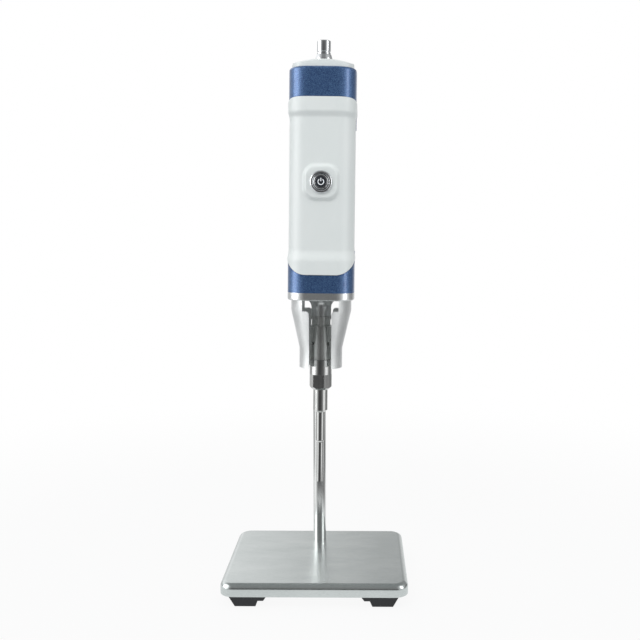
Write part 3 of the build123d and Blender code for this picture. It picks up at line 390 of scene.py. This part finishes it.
BEZEL_RADIUS = 9.7 * MM
BEZEL_RIM = 0.6 * MM
BEZEL_HEIGHT = 2.4 * MM
BEZEL_BORE = 6.4 * MM
BEZEL_EDGE = 0.15 * MM
BARREL_RADIUS = 8 * MM
BARREL_LENGTH = 17 * MM


# Shared shapes

MERGE_DISTANCE = 0.002 * MM
FLAT_ANGLE = math.radians(0.3)


def new_piece(name, bm, body, slot_name, *nodes):
    """A finished mesh as a piece that rides on a body and stands for CAD nodes."""
    for edge in bm.edges:
        edge.smooth = True
    for face in bm.faces:
        face.smooth = True
    mesh = bpy.data.meshes.new(name)
    bm.to_mesh(mesh)
    bm.free()
    if "custom_normal" in mesh.attributes:
        mesh.attributes.remove(mesh.attributes["custom_normal"])
    obj = bpy.data.objects.new(name, mesh)
    bpy.context.scene.collection.objects.link(obj)
    dress(obj, slot_name)
    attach(obj, body)
    if nodes:
        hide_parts(*nodes)
    return obj


def bevel_edges(obj, width, segments=3, least_angle=32):
    """Rounds the edges at which a piece turns by more than an angle in degrees."""
    edge = obj.modifiers.new("edge", "BEVEL")
    edge.width = width
    edge.segments = segments
    edge.limit_method = "ANGLE"
    edge.angle_limit = math.radians(least_angle)
    return obj


def round_edges(obj, width, segments=3, least_angle=32):
    """Rounds a piece's edges and keeps its flat faces evenly lit."""
    bevel_edges(obj, width, segments, least_angle)
    even = obj.modifiers.new("even", "WEIGHTED_NORMAL")
    even.keep_sharp = False
    return obj


def softened(node, width, body):
    """A copy of a carried solid with rounded edges, in place of it."""
    carried = frame["nodes"][node]
    bm = bmesh.new()
    bm.from_mesh(carried.data)
    bm.transform(carried.matrix_world)
    bmesh.ops.remove_doubles(bm, verts=bm.verts, dist=MERGE_DISTANCE)
    bmesh.ops.dissolve_limit(bm, angle_limit=FLAT_ANGLE, verts=bm.verts, edges=bm.edges)
    bmesh.ops.recalc_face_normals(bm, faces=bm.faces)
    obj = new_piece(node + "_softened", bm, body, node_slots[node], node)
    return round_edges(obj, width)


def smooth_step(value, low, high):
    """0 below low, 1 above high and smooth between them, for plain numbers."""
    share = min(1.0, max(0.0, (value - low) / (high - low)))
    return share * share * (3 - 2 * share)


def rounded_square(share, half_width, half_depth, corner, bulge):
    """A point of a bowed square's outline: share runs once round from +X through -Y."""
    side, front = half_depth - corner, half_width - corner
    arc = corner * math.pi / 2
    quarter = side + arc + front
    turn = share % 1.0 * 4
    leg = int(turn)
    along = (turn - leg) * quarter
    if leg % 2:
        along = quarter - along
    if along < side:
        x, y = half_width, along
    elif along < side + arc:
        angle = (along - side) / corner
        x = front + corner * math.cos(angle)
        y = side + corner * math.sin(angle)
    else:
        x, y = front + side + arc - along, half_depth
    x *= -1 if leg in (1, 2) else 1
    y *= -1 if leg in (0, 1) else 1
    return (x * (1 - bulge / half_width * (y / half_depth) ** 2),
            y * (1 - bulge / half_depth * (x / half_width) ** 2))


# Covers

def drawn_in(height):
    """How far the covers are drawn in at a height: 0 at the ends and 1 at the waist."""
    lower = COVER_LOW + LOWER_RAMP_START
    upper = COVER_HIGH - UPPER_RAMP_START
    rise = smooth_step(height, lower, lower + LOWER_RAMP_HEIGHT)
    return rise - smooth_step(height, upper - UPPER_RAMP_HEIGHT, upper)


def edge_drop(distance, corner):
    """How far a rounded corner's edge has dropped at a distance past its start."""
    past = min(max(0.0, distance), corner)
    return corner - math.sqrt(corner * corner - past * past)


def corner_drop(x, y, front_corner, side_corner):
    """How far a cover's edge has drawn back at a place round the handle."""
    return max(edge_drop(abs(x) - (COVER_HALF - front_corner), front_corner),
               edge_drop(side_corner + SEAM_GAP - abs(y), side_corner))


def boss_height(x, z):
    """How far the button's boss stands out at a place on the front."""
    across = abs(x) - (BOSS_HALF - BOSS_CORNER)
    up = abs(z - BUTTON_Z) - (BOSS_HALF - BOSS_CORNER)
    outside = math.hypot(max(across, 0), max(up, 0)) + min(max(across, up), 0) - BOSS_CORNER
    return BOSS_STAND_OUT * (1 - smooth_step(outside, BOSS_SLOPE_START, BOSS_SLOPE_END))


def open_round_hole(bm, radius):
    """Cuts the button's round hole in the front cover and draws its edge to a true circle."""
    def away(place):
        return math.hypot(place.x - DEVICE_X, place.z - BUTTON_Z)

    inside = [face for face in bm.faces
              if away(face.calc_center_median()) < radius and face.calc_center_median().y < DEVICE_Y]
    bmesh.ops.delete(bm, geom=inside, context="FACES")
    past_the_hole = 1.3 * radius
    for vertex in bm.verts:
        if vertex.is_boundary and away(vertex.co) < past_the_hole:
            scale = radius / away(vertex.co)
            vertex.co.x = DEVICE_X + (vertex.co.x - DEVICE_X) * scale
            vertex.co.z = BUTTON_Z + (vertex.co.z - BUTTON_Z) * scale


def cover_piece(name, node, front):
    """One moulded cover: a bowed half shell with its corners rounded, drawn in along its waist."""
    columns, rows = 170, 210
    bm = bmesh.new()
    bmesh.ops.create_grid(bm, x_segments=columns, y_segments=rows, size=0.5)
    for vertex in bm.verts:
        share, up = vertex.co.x + 0.5, vertex.co.y + 0.5
        share = share / 2 if front else 0.5 + share / 2
        x, y = rounded_square(share, COVER_HALF, COVER_HALF, HANDLE_CORNER, HANDLE_BULGE)
        low = COVER_LOW + corner_drop(x, y, LOWER_FRONT_CORNER, LOWER_SIDE_CORNER)
        high = COVER_HIGH - corner_drop(x, y, UPPER_FRONT_CORNER, UPPER_SIDE_CORNER)
        z = low + up * (high - low)
        inset = drawn_in(z)
        x, y = rounded_square(share, COVER_HALF - WAIST_DEPTH_SIDE * inset,
                              COVER_HALF - WAIST_DEPTH_FRONT * inset,
                              HANDLE_CORNER - WAIST_DEPTH_SIDE * inset, HANDLE_BULGE)
        y = min(y, -SEAM_GAP) - boss_height(x, z) if front else max(y, SEAM_GAP)
        vertex.co = (DEVICE_X + x, DEVICE_Y + y, z)
    if front:
        open_round_hole(bm, BARREL_RADIUS + BUTTON_HOLE_GAP)
    bmesh.ops.recalc_face_normals(bm, faces=bm.faces)
    outermost = max(bm.faces, key=lambda face: abs(face.calc_center_median().y - DEVICE_Y))
    if (outermost.normal.y > 0) == front:
        bmesh.ops.reverse_faces(bm, faces=bm.faces)
    bm.transform(LEANING)
    obj = new_piece(name, bm, "handle", "white_plastic", node)
    wall = obj.modifiers.new("wall", "SOLIDIFY")
    wall.thickness = COVER_WALL
    wall.offset = -1
    wall.use_even_offset = True
    return bevel_edges(obj, COVER_EDGE, least_angle=50)


cover_piece("front_cover_moulded", "front_cover", True)
cover_piece("back_cover_moulded", "back_cover", False)


# Softened copies of the other pieces that show, with the width of their rounded edges in millimetres

SOFTENED = {
    "stand": {"base_plate": 0.5, "stand_rod": 0.4, "foot_front_left": 0.4, "foot_front_right": 0.4,
              "foot_back_left": 0.4, "foot_back_right": 0.4, "foot_screws": 0.2},
    "bush": {"rod_bush": 0.4},
    "clamp": {"clamp_body": 0.8},
    "rod_screw": {"rod_knob": 0.6},
    "arm_screw": {"arm_knob": 0.6},
    "handle": {"body_shell": 0.3, "top_cap": 1.5, "bottom_flange": 0.35, "guard_left": 0.6,
               "guard_right": 0.6, "front_mass": 0.4, "horn": 0.25, "probe": 0.25, "support_arm": 0.3,
               "back_bracket": 0.6, "bracket_screws": 0.2, "flange_screws": 0.2, "connector_shell": 0.3,
               "inlet_nut": 0.3, "connector_insert": 0.2},
    "button": {"button_plunger": 0.25},
}
for body_name, widths in SOFTENED.items():
    for node, width in widths.items():
        softened(node, width * MM, body_name)


# Button bezel

def bezel_piece():
    """The chromed bezel: a rounded ring in front of its barrel, turned about the button's axis."""
    seat = DEVICE_Y - COVER_HALF + WAIST_DEPTH_FRONT - BOSS_STAND_OUT
    end = seat + BARREL_LENGTH
    middle, half = (BEZEL_RADIUS + BEZEL_BORE) / 2, (BEZEL_RADIUS - BEZEL_BORE) / 2
    profile = [(BEZEL_BORE, end), (BARREL_RADIUS, end), (BARREL_RADIUS, seat), (BEZEL_RADIUS, seat)]
    arc_steps = 14
    for i in range(arc_steps + 1):
        angle = math.pi * i / arc_steps
        rise = BEZEL_RIM + (BEZEL_HEIGHT - BEZEL_RIM) * math.sin(angle)
        profile.append((middle + half * math.cos(angle), seat - rise))
    bm = bmesh.new()
    ring = [bm.verts.new((DEVICE_X + radius, y, BUTTON_Z)) for radius, y in profile]
    edges = [bm.edges.new((ring[i], ring[(i + 1) % len(ring)])) for i in range(len(ring))]
    bmesh.ops.spin(bm, geom=ring + edges, cent=(DEVICE_X, 0, BUTTON_Z), axis=(0, 1, 0), angle=math.tau,
                   steps=96, use_merge=True)
    bmesh.ops.recalc_face_normals(bm, faces=bm.faces)
    bm.transform(LEANING)
    obj = new_piece("button_bezel_turned", bm, "handle", "chrome", "button_bezel")
    return round_edges(obj, BEZEL_EDGE, 2, 50)


bezel_piece()


# Studio

CAMERA_PLACE = Vector((40.1 * MM, -795.2 * MM, 314.8 * MM))
# How far the camera is turned to the left and looks down, in degrees, and its lens in millimetres
CAMERA_TURN = 0.651
CAMERA_DROP = 3.532
CAMERA_LENS = 49.75
CAMERA_SENSOR = 36.0
# The photograph is cropped off the lens's middle: the shift is a share of the picture's width
CAMERA_SHIFT = (-0.0490, -0.0488)
FLOOR_SIZE = 6.0
# The share of plain white in the floor near the object, as the camera sees it: the rest keeps the shadow
FLOOR_WHITE_SHARE = 0.92
# Distances from the origin over which the floor fades to white, and over which its mirror image changes
FADE_START, FADE_END = 0.25, 0.90
PLATE_SIDE_START, PLATE_SIDE_END = 0.15, 0.22
NEAR_START, NEAR_END = 0.28, 0.42
WHITE = colour(1.0, 1.0, 1.0)
# The room's brightness round the object: degrees to the right of the camera's side, and the level there
LEVEL_ROOM = ((-180, 0.75), (-150, 0.70), (-132, 0.36), (-104, 0.42), (-84, 0.90), (-54, 1.00), (-38, 0.28),
              (-20, 0.06), (4, 0.06), (26, 0.12), (42, 0.30), (54, 0.90), (72, 1.00), (86, 0.36), (104, 0.20),
              (126, 0.16), (146, 0.60), (180, 0.75))
NEAR_ROOM = ((-180, 0.90), (-150, 0.85), (-134, 0.40), (-122, 0.95), (-84, 1.00), (-66, 0.60), (-46, 0.24),
             (-36, 0.10), (-10, 0.06), (12, 0.07), (40, 0.13), (90, 0.18), (112, 0.24), (134, 0.70),
             (180, 0.90))
HIGH_ROOM = ((-180, 0.46), (-168, 0.92), (-140, 1.00), (-80, 1.00), (-46, 0.60), (-24, 0.22), (24, 0.22),
             (44, 0.50), (80, 0.60), (120, 0.30), (150, 0.28), (174, 0.34), (180, 0.46))
# How far a direction points up, from 0 to 1, where the high ring and where the ceiling take over
HIGH_START, HIGH_END = 0.15, 0.30
CEILING_START, CEILING_END = 0.55, 0.90
ROOM_STRENGTH = 1.15


def ray_kinds(graph):
    """1 for rays from the camera, and 1 for rays in gloss or through glass."""
    outputs = graph.add("LightPath").socket.node.outputs
    camera, glossy = Value(graph, outputs["Is Camera Ray"]), Value(graph, outputs["Is Glossy Ray"])
    return camera, graph.maths("MAXIMUM", glossy, Value(graph, outputs["Is Transmission Ray"]))


def room_ring(graph, right, back, levels):
    """The room's brightness in a direction, from one of the lists above."""
    turn = graph.maths("ARCTAN2", right, 0.0 - back) / math.tau + 0.5
    stops = [((degrees + 180) / 360, colour(level, level, level)) for degrees, level in levels]
    return graph.add("ValToRGB", {"stops": stops}, {"Fac": turn})


def make_floor():
    """A pale floor that keeps the object's soft shadow and fades to white. In gloss it shows the room's light
    painted on it: dark on the camera's side, brighter to the left and behind, and an even grey beside the
    plate.
    """
    bm = bmesh.new()
    bmesh.ops.create_grid(bm, x_segments=1, y_segments=1, size=FLOOR_SIZE / 2)
    mesh = bpy.data.meshes.new("floor")
    bm.to_mesh(mesh)
    bm.free()
    floor = bpy.data.objects.new("floor", mesh)
    bpy.context.scene.collection.objects.link(floor)
    material = bpy.data.materials.new("pale_floor")
    material.use_nodes = True
    graph = Graph(material.node_tree)
    camera, glossy = ray_kinds(graph)
    right, back, _ = graph.axes(graph.place())
    distance = graph.maths("SQRT", right * right + back * back)
    plain = graph.add("BsdfDiffuse", None, {"Color": colour(0.52, 0.53, 0.54)})
    white = graph.add("Emission", None, {"Color": WHITE, "Strength": 1.0})
    fade = (1 - FLOOR_WHITE_SHARE) * graph.step(distance, FADE_START, FADE_END)
    share = camera * (FLOOR_WHITE_SHARE + fade)
    seen = graph.add("MixShader", None, {0: share, 1: plain, 2: white})
    # The room's light and shade painted on the floor for rays in gloss: one ring near the object, one far
    # from it, and an even level beside the plate
    near = room_ring(graph, right, back, NEAR_ROOM)
    far = room_ring(graph, right, back, LEVEL_ROOM)
    level = graph.mix(graph.step(distance, NEAR_START, NEAR_END), near, far)
    beside = colour(0.75, 0.76, 0.76)
    level = graph.mix(graph.step(distance, PLATE_SIDE_START, PLATE_SIDE_END), beside, level)
    mirrored = graph.add("Emission", None, {"Color": level, "Strength": ROOM_STRENGTH})
    surface = graph.add("MixShader", None, {0: glossy, 1: seen, 2: mirrored})
    graph.add("OutputMaterial", None, {"Surface": surface})
    mesh.materials.append(material)
    return floor


def make_world():
    """A white room that is dark on the camera's side, with light from both sides, behind and above."""
    world = bpy.data.worlds.new("studio")
    world.use_nodes = True
    bpy.context.scene.world = world
    graph = Graph(world.node_tree)
    right, back, up = graph.axes(graph.add("TexCoord", output="Generated"))
    low_ring = room_ring(graph, right, back, LEVEL_ROOM)
    high_ring = room_ring(graph, right, back, HIGH_ROOM)
    level = graph.mix(graph.step(up, HIGH_START, HIGH_END), low_ring, high_ring)
    camera, glossy = ray_kinds(graph)
    ceiling = graph.mix(glossy, colour(0.95, 0.95, 0.95), colour(0.24, 0.25, 0.25))
    level = graph.mix(graph.step(up, CEILING_START, CEILING_END), level, ceiling)
    strength = colour(ROOM_STRENGTH, ROOM_STRENGTH, ROOM_STRENGTH)
    shade = graph.mix(camera, graph.mix(1.0, level, strength, "MULTIPLY"), WHITE)
    background = graph.add("Background", None, {"Color": shade, "Strength": 1.0})
    graph.add("OutputWorld", None, {"Surface": background})


def make_lamp(name, place, target, width, height, power, in_gloss=True, on_matt=True):
    """A soft box that looks at a target, and which finishes show it."""
    light = bpy.data.lights.new(name, "AREA")
    light.shape = "RECTANGLE"
    light.size = width
    light.size_y = height
    light.energy = power
    lamp = bpy.data.objects.new(name, light)
    lamp.location = place
    lamp.rotation_euler = (Vector(target) - Vector(place)).to_track_quat("-Z", "Y").to_euler()
    lamp.visible_glossy = in_gloss
    lamp.visible_diffuse = on_matt
    bpy.context.scene.collection.objects.link(lamp)
    return lamp


def make_camera():
    """The photograph's view of the object."""
    camera = bpy.data.objects.new("camera", bpy.data.cameras.new("camera"))
    camera.location = CAMERA_PLACE
    camera.rotation_euler = (math.radians(90 - CAMERA_DROP), 0, math.radians(CAMERA_TURN))
    camera.data.lens = CAMERA_LENS
    camera.data.shift_x, camera.data.shift_y = CAMERA_SHIFT
    camera.data.sensor_width = CAMERA_SENSOR
    camera.data.clip_start = 0.01
    bpy.context.scene.collection.objects.link(camera)
    bpy.context.scene.camera = camera


make_floor()
make_world()
middle = ((cad_low + cad_high) / 2)[:]
make_lamp("key_lamp", (-0.45, -1.00, 1.15), middle, width=0.6, height=0.6, power=6.8, in_gloss=False)
make_lamp("left_strip", (-1.25, -0.34, 0.58), middle, width=0.80, height=1.20, power=8.0, on_matt=False)
make_lamp("right_strip", (1.20, -0.52, 0.58), middle, width=0.34, height=1.10, power=3.2)
make_camera()
bpy.context.scene.view_settings.view_transform = "Standard"
